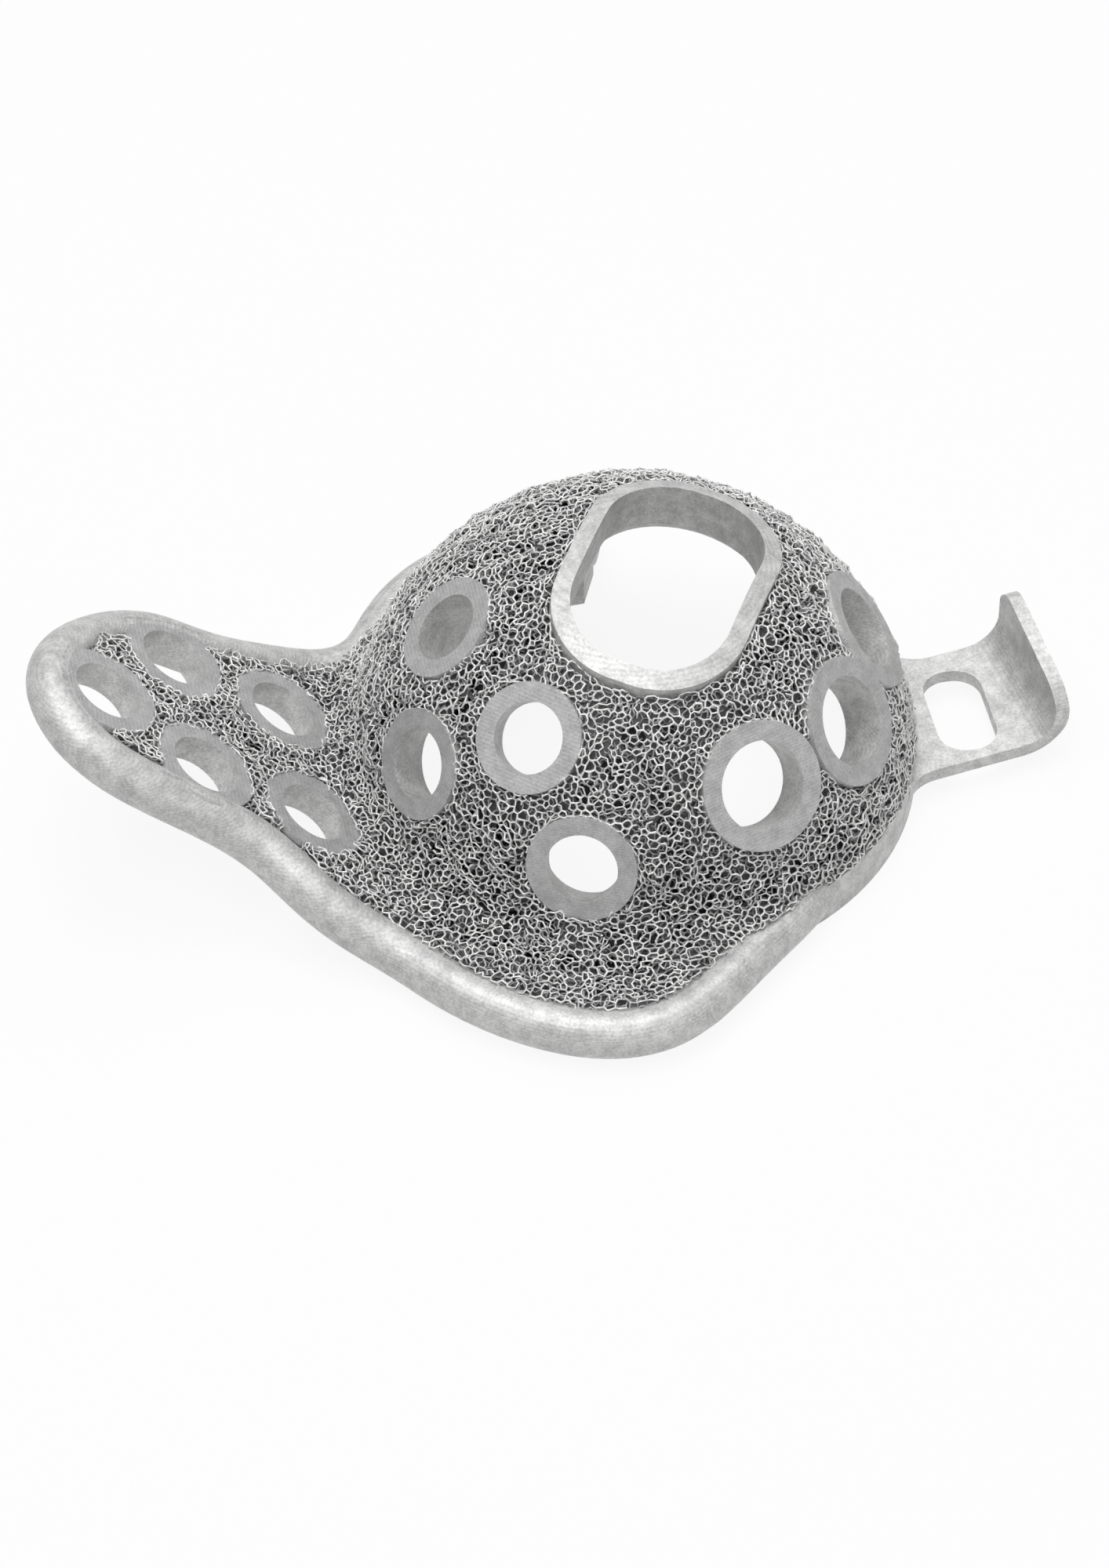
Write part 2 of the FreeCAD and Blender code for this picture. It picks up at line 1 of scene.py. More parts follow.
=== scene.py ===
"""Looks of a printed hip socket revision cage: its metal body and its porous lattice."""

import json
import logging
import math
import random
from dataclasses import dataclass, field
from enum import Enum

import bmesh
import bpy
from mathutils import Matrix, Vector


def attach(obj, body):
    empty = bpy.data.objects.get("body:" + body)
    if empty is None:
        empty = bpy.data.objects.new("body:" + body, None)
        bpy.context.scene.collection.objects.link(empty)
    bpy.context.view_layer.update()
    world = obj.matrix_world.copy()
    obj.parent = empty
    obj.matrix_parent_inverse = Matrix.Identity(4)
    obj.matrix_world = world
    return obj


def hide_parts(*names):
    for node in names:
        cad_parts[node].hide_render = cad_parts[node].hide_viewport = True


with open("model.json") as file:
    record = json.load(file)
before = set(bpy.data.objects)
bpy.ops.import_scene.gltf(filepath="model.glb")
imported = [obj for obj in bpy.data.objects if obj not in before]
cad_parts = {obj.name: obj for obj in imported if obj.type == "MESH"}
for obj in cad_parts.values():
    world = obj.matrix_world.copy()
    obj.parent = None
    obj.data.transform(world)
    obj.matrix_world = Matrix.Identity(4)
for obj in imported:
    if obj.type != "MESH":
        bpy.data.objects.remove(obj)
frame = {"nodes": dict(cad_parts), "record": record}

MM = 0.001
NODE = "acetabular_cage"
BODY = "root"
SKIN_RADIUS = 31.2 * MM
ONE_MICRON = 1e-6
WAVE_NODE_TURN = math.pi / 10

log = logging.getLogger("cage")


def direction(azimuth: float, elevation: float) -> Vector:
    """Unit vector from the dome's centre.

    Args:
        azimuth: degrees from +X towards +Y.
        elevation: degrees above the mouth's plane.

    Returns:
        The unit vector.
    """
    azimuth = math.radians(azimuth)
    elevation = math.radians(elevation)
    return Vector((
        math.cos(elevation) * math.cos(azimuth),
        math.cos(elevation) * math.sin(azimuth),
        math.sin(elevation),
    ))


def new_piece(name: str, mesh: bpy.types.Mesh) -> bpy.types.Object:
    """Links a mesh into the scene as an object that stands at the origin."""
    piece = bpy.data.objects.new(name, mesh)
    bpy.context.scene.collection.objects.link(piece)
    return piece


class ShaderTree:
    """Short ways to place and wire nodes in one node tree."""

    def __init__(self, tree: bpy.types.NodeTree) -> None:
        """Starts from an empty tree."""
        self.tree = tree
        tree.nodes.clear()

    def node(self, kind: str, **settings: object) -> bpy.types.Node:
        """Adds a node and sets its options.

        Args:
            kind: Blender's name of the node type.
            settings: options of the node itself, not its sockets.

        Returns:
            The new node.
        """
        made = self.tree.nodes.new(kind)
        for name, value in settings.items():
            setattr(made, name, value)
        return made

    def wire(self, source: bpy.types.NodeSocket, target: bpy.types.NodeSocket) -> None:
        """Links an output to an input."""
        self.tree.links.new(source, target)

    def maths(self, operation: str, first: object, second: object) -> bpy.types.NodeSocket:
        """Adds a Math node fed by sockets or plain numbers.

        Args:
            operation: the Math node's operation.
            first: socket or number of the first input.
            second: socket or number of the second input.

        Returns:
            The node's output socket.
        """
        made = self.node("ShaderNodeMath", operation=operation)
        for place, value in enumerate((first, second)):
            if isinstance(value, (int, float)):
                made.inputs[place].default_value = value
            else:
                self.wire(value, made.inputs[place])
        return made.outputs[0]


@dataclass(frozen=True)
class PrintedGrain:
    """Shared effect: the sintered grain and build layers of printed metal."""

    name: str = "printed_grain"
    layer_pitch: float = 0.3 * MM
    layer_waver: float = 1.5
    waver_scale: float = 2.0
    speck_size: float = 0.3 * MM
    speck_detail: float = 2.0
    mottle_size: float = 1.6 * MM
    mottle_detail: float = 3.0

    def group(self) -> bpy.types.NodeTree:
        """Builds the node group once and returns it after that."""
        made = bpy.data.node_groups.get(self.name)
        if made:
            return made
        made = bpy.data.node_groups.new(self.name, "ShaderNodeTree")
        made.interface.new_socket("Layers", in_out="INPUT", socket_type="NodeSocketFloat")
        made.interface.new_socket("Specks", in_out="INPUT", socket_type="NodeSocketFloat")
        made.interface.new_socket("Tone", in_out="OUTPUT", socket_type="NodeSocketFloat")
        made.interface.new_socket("Height", in_out="OUTPUT", socket_type="NodeSocketFloat")
        shader = ShaderTree(made)
        given = shader.node("NodeGroupInput")
        put_out = shader.node("NodeGroupOutput")
        place = shader.node("ShaderNodeTexCoord").outputs["Object"]
        specks = self.noise(shader, place, self.speck_size, self.speck_detail)
        mottle = self.noise(shader, place, self.mottle_size, self.mottle_detail)
        wave = shader.node("ShaderNodeTexWave", bands_direction="Z", wave_profile="SIN")
        wave.inputs["Scale"].default_value = WAVE_NODE_TURN / self.layer_pitch
        wave.inputs["Distortion"].default_value = self.layer_waver
        wave.inputs["Detail Scale"].default_value = self.waver_scale
        shader.wire(place, wave.inputs["Vector"])
        layers = self.swing(shader, wave.outputs["Fac"], given.outputs["Layers"])
        grains = self.swing(shader, specks, given.outputs["Specks"])
        height = shader.maths("ADD", layers, grains)
        shader.wire(height, put_out.inputs["Height"])
        tone = shader.maths("ADD", height, mottle)
        shader.wire(tone, put_out.inputs["Tone"])
        return made

    def swing(
        self, shader: ShaderTree, pattern: bpy.types.NodeSocket, amount: bpy.types.NodeSocket
    ) -> bpy.types.NodeSocket:
        """Swings a pattern's value about zero by a given amount.

        Args:
            shader: tree to add to.
            pattern: value between 0 and 1.
            amount: how far it swings.

        Returns:
            The swinging value's socket.
        """
        return shader.maths("MULTIPLY", shader.maths("SUBTRACT", pattern, 0.5), amount)

    def noise(
        self, shader: ShaderTree, place: bpy.types.NodeSocket, size: float, detail: float
    ) -> bpy.types.NodeSocket:
        """Adds a noise pattern of a given grain size.

        Args:
            shader: tree to add to.
            place: coordinates that the pattern sits on.
            size: width of one grain in metres.
            detail: how many finer octaves it has.

        Returns:
            The pattern's value socket.
        """
        made = shader.node("ShaderNodeTexNoise")
        made.inputs["Scale"].default_value = 1 / size
        made.inputs["Detail"].default_value = detail
        shader.wire(place, made.inputs["Vector"])
        return made.outputs["Fac"]


@dataclass(frozen=True)
class PrintedTitanium:
    """Finish of the printed metal, from its darkest to its lightest tone."""

    name: str
    dark: tuple[float, float, float]
    light: tuple[float, float, float]
    roughness: float = 0.5
    metallic: float = 0.4
    layers: float = 0.15
    specks: float = 1.0
    tone_span: tuple[float, float] = (0.2, 0.8)
    bump: float = 0.5
    bump_depth: float = 0.05 * MM

    def material(self) -> bpy.types.Material:
        """Builds the material.

        Returns:
            The material, with its tone and bump from the printed grain.
        """
        made = bpy.data.materials.new(self.name)
        made.use_nodes = True
        shader = ShaderTree(made.node_tree)
        surface = shader.node("ShaderNodeBsdfPrincipled")
        surface.inputs["Roughness"].default_value = self.roughness
        surface.inputs["Metallic"].default_value = self.metallic
        grain = shader.node("ShaderNodeGroup", node_tree=PrintedGrain().group())
        grain.inputs["Layers"].default_value = self.layers
        grain.inputs["Specks"].default_value = self.specks
        ramp = shader.node("ShaderNodeValToRGB")
        ends = zip(ramp.color_ramp.elements, self.tone_span, (self.dark, self.light))
        for end, position, tone in ends:
            end.position = position
            end.color = (*tone, 1.0)
        shader.wire(grain.outputs["Tone"], ramp.inputs["Fac"])
        shader.wire(ramp.outputs["Color"], surface.inputs["Base Color"])
        bump = shader.node("ShaderNodeBump")
        bump.inputs["Strength"].default_value = self.bump
        bump.inputs["Distance"].default_value = self.bump_depth
        shader.wire(grain.outputs["Height"], bump.inputs["Height"])
        shader.wire(bump.outputs["Normal"], surface.inputs["Normal"])
        output = shader.node("ShaderNodeOutputMaterial")
        shader.wire(surface.outputs["BSDF"], output.inputs["Surface"])
        return made


SMOOTH_METAL = PrintedTitanium("smooth_metal", (0.42, 0.42, 0.42), (0.70, 0.70, 0.69))
# Rings' flat faces: the metal with stronger build layers, in a darker tone that is painted
# shade for faces turned away from the light above.
RING_METAL_PAINTED_SHADE = PrintedTitanium("ring_metal_painted_shade", (0.36, 0.36, 0.36), (0.54, 0.54, 0.54), layers=0.2)
# Porous skin under the lattice: near black, painted shade for the shadow deep in the struts'
# foam.
SKIN_PAINTED_SHADE = PrintedTitanium("skin_painted_shade", (0.045, 0.045, 0.047), (0.12, 0.12, 0.122))
# Walls and floors of the coarse pores: darker still, painted shade for the deepest shadow in
# the pits.
PORE_PAINTED_SHADE = PrintedTitanium("pore_depth", (0.02, 0.02, 0.022), (0.05, 0.05, 0.052))
# Top storey of struts: the same metal in a lighter tone, painted light for the exposed top
# layer.
TOP_STRUTS_PAINTED_LIGHT = PrintedTitanium("top_struts_painted_light", (0.55, 0.55, 0.55), (0.90, 0.90, 0.89), bump=0.1)
# Deep storey of struts: the same metal in a darker tone, painted shade for the shadow under
# the top storey.
DEEP_STRUTS_PAINTED_SHADE = PrintedTitanium("deep_struts_painted_shade", (0.22, 0.22, 0.22), (0.50, 0.50, 0.50), bump=0.1)


class Zone(Enum):
    """Zones of the body's surface, numbered as their finishes are; all zones but the smooth
    one carry painted shade.
    """

    SMOOTH = 0
    SKIN = 1
    RING = 2
    PORE = 3


@dataclass
class CageBody:
    """The solid metal of the cage, whose porous skin is the floor of the lattice."""

    name: str = "cage_body"
    skin_point: Vector = field(default_factory=lambda: direction(-80, 45) * SKIN_RADIUS)
    sharpest_skin_edge: float = math.radians(27)
    shading_edge: float = math.radians(35)
    widest_ring: float = 7.4 * MM
    ring_tilt: float = math.radians(3)
    largest_pore: int = 200

    def build(self) -> bpy.types.Object:
        """Copies the solid, merges its loose triangles and marks its porous skin.

        Returns:
            The body's object.
        """
        mesh = frame["nodes"][NODE].data.copy()
        mesh.name = self.name
        mesh.materials.clear()
        stored_normals = mesh.attributes.get("custom_normal")
        if stored_normals:
            mesh.attributes.remove(stored_normals)
        shape = bmesh.new()
        shape.from_mesh(mesh)
        bmesh.ops.remove_doubles(shape, verts=shape.verts, dist=ONE_MICRON)
        for face in shape.faces:
            face.material_index = Zone.SMOOTH.value
        # The rings' faces, the porous skin and the pores are picked out here to take painted
        # shade from their own slots.
        for face in self.ring_faces(shape):
            face.material_index = Zone.RING.value
        skin = self.skin(shape)
        for face in skin:
            face.material_index = Zone.SKIN.value
        for face in self.pores(skin):
            face.material_index = Zone.PORE.value
        shape.to_mesh(mesh)
        shape.free()
        mesh.shade_smooth()
        mesh.set_sharp_from_angle(angle=self.shading_edge)
        return new_piece(self.name, mesh)

    def ring_faces(self, shape: bmesh.types.BMesh) -> list[bmesh.types.BMFace]:
        """Finds the flat faces of the rings round the bores.

        Args:
            shape: the merged solid.

        Returns:
            The rings' faces.
        """
        found = []
        for mount in frame["record"]["mounts"]:
            if mount["kind"] != "bore":
                continue
            middle = Vector(mount["pos_m"])
            outward = -Vector(mount["axis"])
            for face in shape.faces:
                reach = face.calc_center_median() - middle
                aside = (reach - outward * reach.dot(outward)).length
                flat = face.normal.angle(outward, math.pi) < self.ring_tilt
                if flat and aside < self.widest_ring and reach.dot(outward) > 0:
                    found.append(face)
        return found

    def skin(self, shape: bmesh.types.BMesh) -> set[bmesh.types.BMFace]:
        """Finds the porous skin: all that smooth edges join to one point of the dome.

        Args:
            shape: the merged solid.

        Returns:
            The skin's faces.
        """
        first = min(
            shape.faces,
            key=lambda face: (face.calc_center_median() - self.skin_point).length,
        )
        found = {first}
        waiting = [first]
        while waiting:
            for edge in waiting.pop().edges:
                if len(edge.link_faces) != 2:
                    continue
                if edge.calc_face_angle() > self.sharpest_skin_edge:
                    continue
                for face in edge.link_faces:
                    if face not in found:
                        found.add(face)
                        waiting.append(face)
        return found

    def pores(self, skin: set[bmesh.types.BMFace]) -> list[bmesh.types.BMFace]:
        """Finds the walls and floors of the coarse pores, each an island in the skin.

        Args:
            skin: the skin's faces.

        Returns:
            The pores' faces.
        """
        found = []
        seen = set(skin)
        for face in skin:
            for edge in face.edges:
                for start in edge.link_faces:
                    if start in seen:
                        continue
                    island = self.island(start, seen)
                    if len(island) < self.largest_pore:
                        found += island
        return found

    def island(
        self, start: bmesh.types.BMFace, seen: set[bmesh.types.BMFace]
    ) -> list[bmesh.types.BMFace]:
        """Gathers the faces joined to one without crossing those already seen.

        Args:
            start: the face to begin from.
            seen: faces not to enter; the island is added to them.

        Returns:
            The island's faces.
        """
        seen.add(start)
        island = [start]
        for face in island:
            for edge in face.edges:
                for beside in edge.link_faces:
                    if beside not in seen:
                        seen.add(beside)
                        island.append(beside)
        return island

    def dress(self, body: bpy.types.Object) -> None:
        """Gives the body its finishes, with painted shade on the rings' faces, the porous
        skin and the pores, and lets it stand for the solid.
        """
        # Slots in Zone's order: smooth metal, then painted shade for the skin, the rings'
        # faces and the pores.
        for finish in (SMOOTH_METAL, SKIN_PAINTED_SHADE, RING_METAL_PAINTED_SHADE, PORE_PAINTED_SHADE):
            body.data.materials.append(finish.material())
        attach(body, BODY)
        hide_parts(NODE)


class Depth(Enum):
    """Which storey of the lattice a net is."""

    TOP = "top"
    DEEP = "deep"


class Place(Enum):
    """Which part of the cage a piece of a net covers."""

    FRONT = "dome_front"
    BACK = "dome_back"
    FLANGE = "flange"


class NodeRun:
    """Geometry nodes run once over a mesh, whose result is kept as a plain mesh."""

    def __init__(self, name: str) -> None:
        """Starts a tree with one geometry in and one out."""
        self.tree = bpy.data.node_groups.new(name, "GeometryNodeTree")
        for way in ("INPUT", "OUTPUT"):
            self.tree.interface.new_socket(
                "Geometry", in_out=way, socket_type="NodeSocketGeometry"
            )
        self.given = self.tree.nodes.new("NodeGroupInput").outputs[0]
        self.put_out = self.tree.nodes.new("NodeGroupOutput").inputs[0]

    def run(self, mesh: bpy.types.Mesh) -> bpy.types.Mesh:
        """Runs the tree over a mesh.

        Args:
            mesh: the mesh to work on; it is used up.

        Returns:
            The new mesh.
        """
        carrier = new_piece("carrier", mesh)
        carrier.modifiers.new("nodes", "NODES").node_group = self.tree
        view = bpy.context.evaluated_depsgraph_get()
        result = bpy.data.meshes.new_from_object(carrier.evaluated_get(view))
        bpy.data.objects.remove(carrier)
        bpy.data.meshes.remove(mesh)
        bpy.data.node_groups.remove(self.tree)
        return result


def cells_round_corners(mesh: bpy.types.Mesh) -> bpy.types.Mesh:
    """Turns triangles into many-sided cells, one round each of their corners."""
    job = NodeRun("cells_round_corners")
    turned = job.tree.nodes.new("GeometryNodeDualMesh")
    job.tree.links.new(job.given, turned.inputs["Mesh"])
    job.tree.links.new(turned.outputs[0], job.put_out)
    return job.run(mesh)


def struts_along_edges(mesh: bpy.types.Mesh, widths: str, sides: int) -> bpy.types.Mesh:
    """Lays a closed strut along every edge of a mesh.

    Args:
        mesh: the edges; it is used up.
        widths: name of the attribute with the strut's radius at each vertex.
        sides: how many sides a strut has.

    Returns:
        The struts' mesh.
    """
    job = NodeRun("struts_along_edges")
    nodes = job.tree.nodes
    lines = nodes.new("GeometryNodeMeshToCurve")
    width = nodes.new("GeometryNodeInputNamedAttribute")
    width.data_type = "FLOAT"
    width.inputs["Name"].default_value = widths
    profile = nodes.new("GeometryNodeCurvePrimitiveCircle")
    profile.inputs["Resolution"].default_value = sides
    profile.inputs["Radius"].default_value = 1.0
    struts = nodes.new("GeometryNodeCurveToMesh")
    struts.inputs["Fill Caps"].default_value = True
    job.tree.links.new(job.given, lines.inputs["Mesh"])
    job.tree.links.new(lines.outputs["Curve"], struts.inputs["Curve"])
    job.tree.links.new(width.outputs["Attribute"], struts.inputs["Scale"])
    job.tree.links.new(profile.outputs["Curve"], struts.inputs["Profile Curve"])
    job.tree.links.new(struts.outputs["Mesh"], job.put_out)
    return job.run(mesh)


@dataclass
class PorousNet:
    """One storey of the porous lattice: a ragged net of struts between uneven cells.

    The longest and shortest edges are given as shares of the pitch.
    """

    depth: Depth
    # Material of the struts: the top storey's carries painted light, the deep storey's
    # painted shade.
    finish: PrintedTitanium
    level: float
    scatter: float
    seed: int
    post_share: float
    broken_share: float
    pitch: float = 1.0 * MM
    disorder: float = 0.3
    thinnest: float = 0.085 * MM
    thickest: float = 0.155 * MM
    strut_sides: int = 4
    post_length: float = 0.75 * MM
    post_lean: float = 0.3 * MM
    buried_edge: float = 0.45 * MM
    edge_on_rim: float = 1.3 * MM
    sheet_reach: float = 33.5 * MM
    widest_boss: float = 8.2 * MM
    pore_outline_sides: int = 24
    evening_rounds: int = 5
    evening: float = 0.5
    longest_edge: float = 1.35
    shortest_edge: float = 0.6
    flange_side: float = -33.5 * MM
    widths: str = "strut_radius"

    def build(self, body: bpy.types.Object) -> list[bpy.types.Object]:
        """Builds the net over the body's porous skin.

        Args:
            body: the cage's body, whose materials mark the skin.

        Returns:
            The net's pieces, one for each place.
        """
        chance = random.Random(self.seed)
        cells = cells_round_corners(self.triangles(body, chance))
        shape = bmesh.new()
        shape.from_mesh(cells)
        bpy.data.meshes.remove(cells)
        self.raise_corners(shape, chance)
        self.break_walls(shape, chance)
        self.vary_widths(shape, chance)
        pieces = [self.struts(shape, place) for place in Place]
        shape.free()
        return pieces

    def place(self, edge: bmesh.types.BMEdge) -> Place:
        """Finds the place of the cage that an edge belongs to."""
        middle = (edge.verts[0].co + edge.verts[1].co) / 2
        if middle.x < self.flange_side:
            return Place.FLANGE
        return Place.FRONT if middle.y < 0 else Place.BACK

    def struts(self, shape: bmesh.types.BMesh, place: Place) -> bpy.types.Object:
        """Makes struts of the edges of one place.

        Args:
            shape: all edges of the net.
            place: the place that is wanted.

        Returns:
            The struts' object.
        """
        kept = shape.copy()
        strangers = [edge for edge in kept.edges if self.place(edge) != place]
        bmesh.ops.delete(kept, geom=strangers, context="EDGES")
        mesh = bpy.data.meshes.new("net_edges")
        kept.to_mesh(mesh)
        kept.free()
        struts = struts_along_edges(mesh, self.widths, self.strut_sides)
        struts.name = f"{self.depth.value}_net_{place.value}"
        return new_piece(struts.name, struts)

    def triangles(self, body: bpy.types.Object, chance: random.Random) -> bpy.types.Mesh:
        """Covers the skin with even, slightly disordered triangles.

        Args:
            body: the cage's body.
            chance: source of the disorder.

        Returns:
            The triangles' mesh, grown a little past the skin's edge.
        """
        shape = bmesh.new()
        shape.from_mesh(body.data)
        others = [face for face in shape.faces if face.material_index != Zone.SKIN.value]
        bmesh.ops.delete(shape, geom=others, context="FACES")
        outlines = [edge for edge in shape.edges if edge.is_boundary]
        bmesh.ops.holes_fill(shape, edges=outlines, sides=self.pore_outline_sides)
        for _ in range(self.evening_rounds):
            longest = self.longest_edge * self.pitch
            shortest = self.shortest_edge * self.pitch
            long_edges = [edge for edge in shape.edges if edge.calc_length() > longest]
            bmesh.ops.subdivide_edges(shape, edges=long_edges, cuts=1)
            bmesh.ops.triangulate(shape, faces=shape.faces)
            bmesh.ops.remove_doubles(shape, verts=shape.verts, dist=shortest)
            bmesh.ops.beautify_fill(shape, faces=shape.faces, edges=shape.edges)
            inner = [vert for vert in shape.verts if not vert.is_boundary]
            bmesh.ops.smooth_vert(
                shape,
                verts=inner,
                factor=self.evening,
                use_axis_x=True,
                use_axis_y=True,
                use_axis_z=True,
            )
            for vert in inner:
                vert.co += self.random_step(chance) * self.disorder * self.pitch
        self.grow_edge(shape)
        mesh = bpy.data.meshes.new("skin_triangles")
        shape.to_mesh(mesh)
        shape.free()
        return mesh

    def random_step(self, chance: random.Random) -> Vector:
        """Random vector inside a cube of side two."""
        return Vector([chance.uniform(-1, 1) for _ in range(3)])

    def growth(self, place: Vector) -> float:
        """How far the net goes on past the skin's edge: further where that is the rim."""
        if math.hypot(place.x, place.y) < self.sheet_reach:
            return self.buried_edge
        for mount in frame["record"]["mounts"]:
            away = place - Vector(mount["pos_m"])
            beside = away.cross(Vector(mount["axis"])).length
            if mount["kind"] == "bore" and beside < self.widest_boss:
                return self.buried_edge
        return self.edge_on_rim

    def grow_edge(self, shape: bmesh.types.BMesh) -> None:
        """Extends the triangles past the skin's edge, into the solid metal beside it."""
        shape.normal_update()
        edges = [edge for edge in shape.edges if edge.is_boundary]
        outward = {}
        for edge in edges:
            loop = edge.link_loops[0]
            along = (loop.link_loop_next.vert.co - loop.vert.co).normalized()
            away = along.cross(loop.face.normal)
            for vert in edge.verts:
                outward[vert] = outward.get(vert, Vector()) + away
        steps = {
            tuple(vert.co): away.normalized() * self.growth(vert.co)
            for vert, away in outward.items()
        }
        grown = bmesh.ops.extrude_edge_only(shape, edges=edges)
        for item in grown["geom"]:
            if isinstance(item, bmesh.types.BMVert):
                item.co += steps[tuple(item.co)]
        bmesh.ops.triangulate(shape, faces=shape.faces)
        self.settle_order(shape)

    def settle_order(self, shape: bmesh.types.BMesh) -> None:
        """Puts edges and faces in the order of their corners, which extruding leaves open.

        Without it the cells come in another order each run, and the random draws with them.

        Args:
            shape: the triangles.
        """
        shape.verts.index_update()
        count = len(shape.verts)

        def rank(item: bmesh.types.BMEdge | bmesh.types.BMFace) -> int:
            """Number that orders items by the numbers of their corners."""
            corners = sorted(vert.index for vert in item.verts)
            return sum(corner * count**place for place, corner in enumerate(corners))

        shape.edges.sort(key=rank)
        shape.faces.sort(key=rank)

    def raise_corners(self, shape: bmesh.types.BMesh, chance: random.Random) -> None:
        """Lifts the cells' corners off the skin and stands some of them on posts.

        Args:
            shape: the cells.
            chance: source of the unevenness.
        """
        shape.normal_update()
        outward = {vert: vert.normal.copy() for vert in shape.verts}
        for vert, away in outward.items():
            vert.co += away * (self.level + chance.uniform(-1, 1) * self.scatter)
        chosen = [vert for vert in outward if chance.random() < self.post_share]
        posts = bmesh.ops.extrude_vert_indiv(shape, verts=chosen)
        for post in posts["edges"]:
            top, foot = post.verts
            if top not in outward:
                top, foot = foot, top
            lean = self.random_step(chance) * self.post_lean
            foot.co = top.co - outward[top] * self.post_length + lean

    def break_walls(self, shape: bmesh.types.BMesh, chance: random.Random) -> None:
        """Leaves only the cells' edges, and takes some of them out."""
        bmesh.ops.delete(shape, geom=list(shape.faces), context="FACES_ONLY")
        broken = [edge for edge in shape.edges if chance.random() < self.broken_share]
        bmesh.ops.delete(shape, geom=broken, context="EDGES")

    def vary_widths(self, shape: bmesh.types.BMesh, chance: random.Random) -> None:
        """Gives every corner its own strut radius."""
        layer = shape.verts.layers.float.new(self.widths)
        for vert in shape.verts:
            vert[layer] = chance.uniform(self.thinnest, self.thickest)

    def dress(self, piece: bpy.types.Object) -> None:
        """Gives one net its finish: painted light for the top storey, painted shade for the
        deep one.
        """
        piece.data.materials.append(self.finish.material())
        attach(piece, BODY)


NETS = (
    PorousNet(
        Depth.TOP,
        # Top storey in painted light.
        TOP_STRUTS_PAINTED_LIGHT,
        level=0.76 * MM,
        scatter=0.2 * MM,
        seed=11,
        post_share=0.45,
        broken_share=0.1,
    ),
    PorousNet(
        Depth.DEEP,
        # Deep storey in painted shade.
        DEEP_STRUTS_PAINTED_SHADE,
        level=0.35 * MM,
        scatter=0.3 * MM,
        seed=29,
        post_share=0.0,
        broken_share=0.05,
    ),
)


@dataclass
class Lamp:
    """Square soft lamp that points at the dome."""

    name: str
    azimuth: float
    elevation: float
    power: float
    side: float = 0.7
    distance: float = 0.9

    def build(self) -> None:
        """Hangs the lamp."""
        data = bpy.data.lights.new(self.name, "AREA")
        data.shape = "SQUARE"
        data.size = self.side
        data.energy = self.power
        lamp = bpy.data.objects.new(self.name, data)
        lamp.location = direction(self.azimuth, self.elevation) * self.distance
        lamp.rotation_euler = (-lamp.location).to_track_quat("-Z", "Y").to_euler()
        bpy.context.scene.collection.objects.link(lamp)


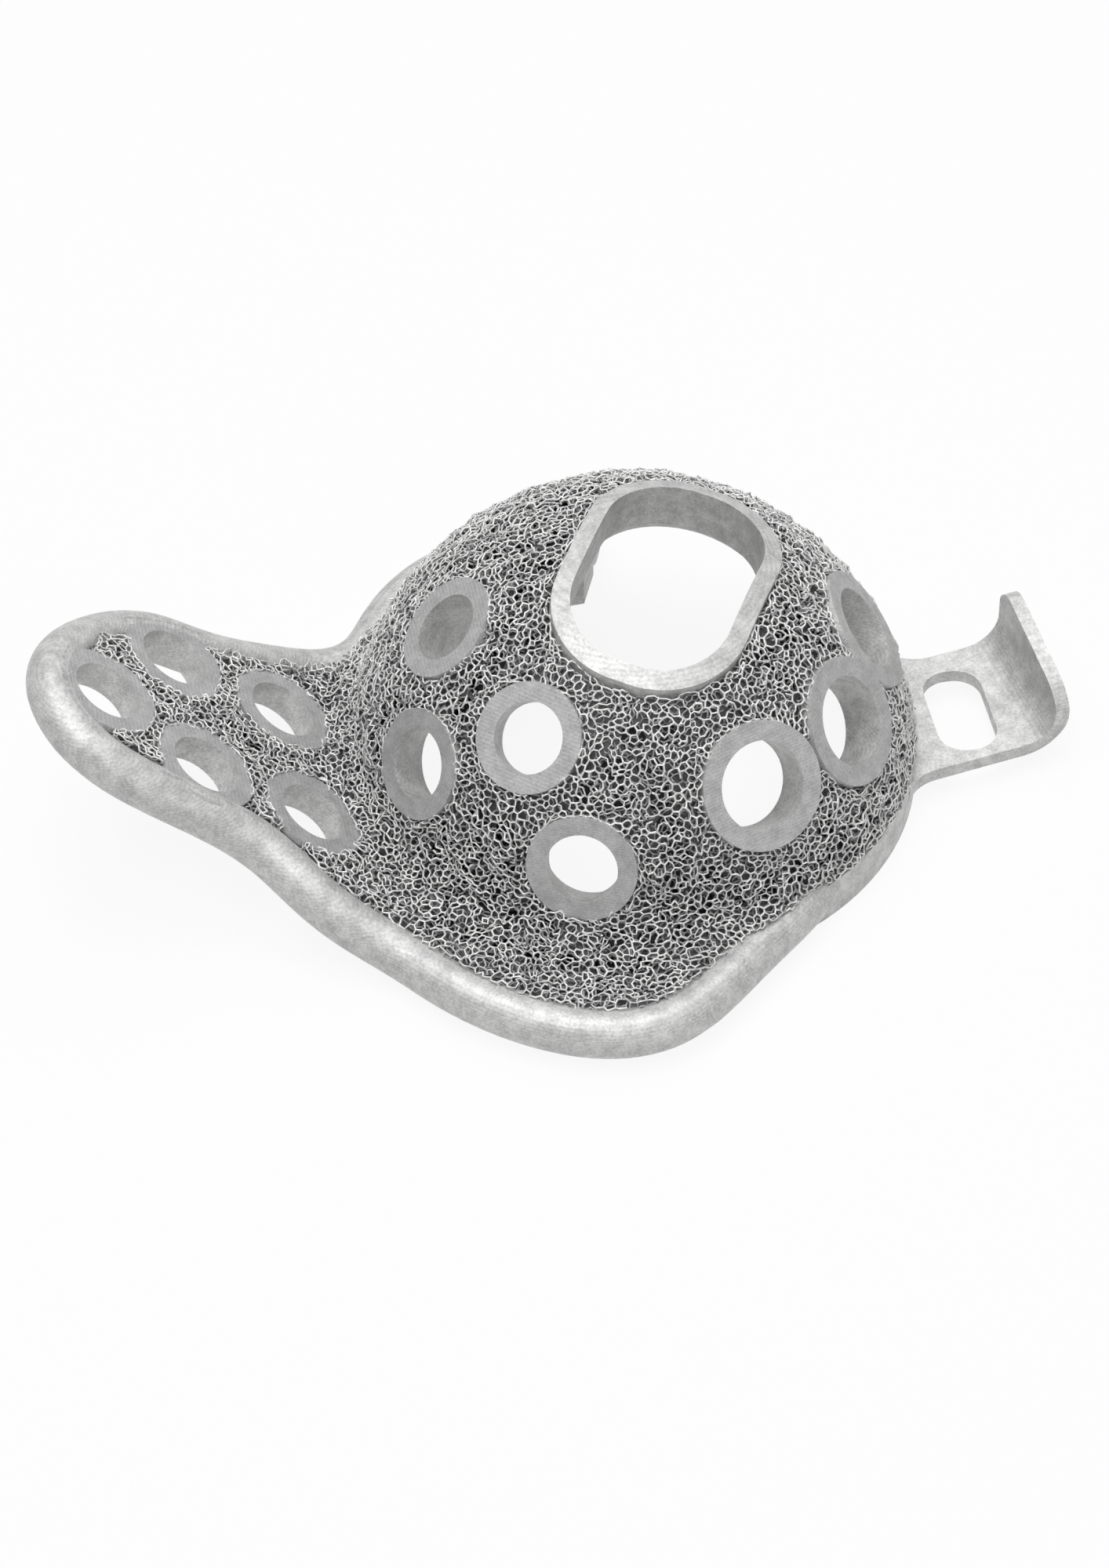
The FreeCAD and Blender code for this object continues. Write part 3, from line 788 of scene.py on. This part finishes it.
@dataclass
class Studio:
    """Camera, white sweep and soft light."""

    floor_level: float = -2.0 * MM
    floor_side: float = 4.0
    floor_tone: float = 0.9
    camera_azimuth: float = -90.0
    camera_elevation: float = 45.0
    camera_distance: float = 700 * MM
    lens: float = 142.5
    sensor_width: float = 36.0
    clipping: tuple[float, float] = (0.01, 20.0)
    frame_shift: tuple[float, float] = (-0.0495, -0.019)
    world_light: float = 0.2
    white_share: float = 0.9
    lamps: tuple[Lamp, ...] = (
        Lamp("key", azimuth=-140, elevation=78, power=5.0),
        Lamp("fill", azimuth=-60, elevation=30, power=1.1),
        Lamp("back", azimuth=80, elevation=65, power=2.6),
    )

    def build(self) -> None:
        """Builds everything round the object."""
        self.place_camera()
        self.lay_floor()
        self.light_world()
        for lamp in self.lamps:
            lamp.build()
        bpy.context.scene.view_settings.view_transform = "Standard"

    def place_camera(self) -> None:
        """Aims the camera at the dome's centre, and shifts the frame as in the photo."""
        data = bpy.data.cameras.new("camera")
        data.sensor_width = self.sensor_width
        data.lens = self.lens
        data.shift_x, data.shift_y = self.frame_shift
        data.clip_start, data.clip_end = self.clipping
        camera = bpy.data.objects.new("camera", data)
        from_centre = direction(self.camera_azimuth, self.camera_elevation)
        camera.location = from_centre * self.camera_distance
        camera.rotation_euler = (-camera.location).to_track_quat("-Z", "Y").to_euler()
        bpy.context.scene.collection.objects.link(camera)
        bpy.context.scene.camera = camera

    def seen_white(self, shader: ShaderTree) -> bpy.types.NodeSocket:
        """Share of white that rays from the camera and from gloss meet.

        Args:
            shader: tree to add to.

        Returns:
            Socket with 1 for such rays and 0 for the others.
        """
        path = shader.node("ShaderNodeLightPath")
        seen = shader.maths(
            "MAXIMUM", path.outputs["Is Camera Ray"], path.outputs["Is Glossy Ray"]
        )
        return shader.maths("MAXIMUM", seen, path.outputs["Is Transmission Ray"])

    def lay_floor(self) -> None:
        """Lays a pale floor that shows white and keeps the object's shadow."""
        shape = bmesh.new()
        bmesh.ops.create_grid(shape, x_segments=1, y_segments=1, size=self.floor_side / 2)
        bmesh.ops.translate(shape, verts=shape.verts, vec=(0, 0, self.floor_level))
        mesh = bpy.data.meshes.new("floor")
        shape.to_mesh(mesh)
        shape.free()
        floor = new_piece("floor", mesh)
        made = bpy.data.materials.new("white_floor")
        made.use_nodes = True
        shader = ShaderTree(made.node_tree)
        matt = shader.node("ShaderNodeBsdfDiffuse")
        matt.inputs["Color"].default_value = (*[self.floor_tone] * 3, 1.0)
        white = shader.node("ShaderNodeEmission")
        mixed = shader.node("ShaderNodeMixShader")
        share = shader.maths("MULTIPLY", self.seen_white(shader), self.white_share)
        shader.wire(share, mixed.inputs["Fac"])
        shader.wire(matt.outputs["BSDF"], mixed.inputs[1])
        shader.wire(white.outputs["Emission"], mixed.inputs[2])
        output = shader.node("ShaderNodeOutputMaterial")
        shader.wire(mixed.outputs["Shader"], output.inputs["Surface"])
        mesh.materials.append(made)

    def light_world(self) -> None:
        """Sets an even pale light all round that shows white to the camera."""
        world = bpy.data.worlds.new("studio")
        world.use_nodes = True
        bpy.context.scene.world = world
        shader = ShaderTree(world.node_tree)
        ground = shader.node("ShaderNodeBackground")
        seen = self.seen_white(shader)
        added = shader.maths("MULTIPLY", seen, 1 - self.world_light)
        shader.wire(shader.maths("ADD", added, self.world_light), ground.inputs["Strength"])
        output = shader.node("ShaderNodeOutputWorld")
        shader.wire(ground.outputs["Background"], output.inputs["Surface"])


def main() -> None:
    """Builds the cage and its studio."""
    logging.basicConfig(level=logging.INFO, format="%(message)s")
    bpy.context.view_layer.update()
    cage = CageBody()
    body = cage.build()
    for net in NETS:
        for piece in net.build(body):
            net.dress(piece)
            log.info("%s: %d faces", piece.name, len(piece.data.polygons))
    cage.dress(body)
    log.info("%s: %d faces", body.name, len(body.data.polygons))
    Studio().build()


if __name__ == "__main__":
    main()
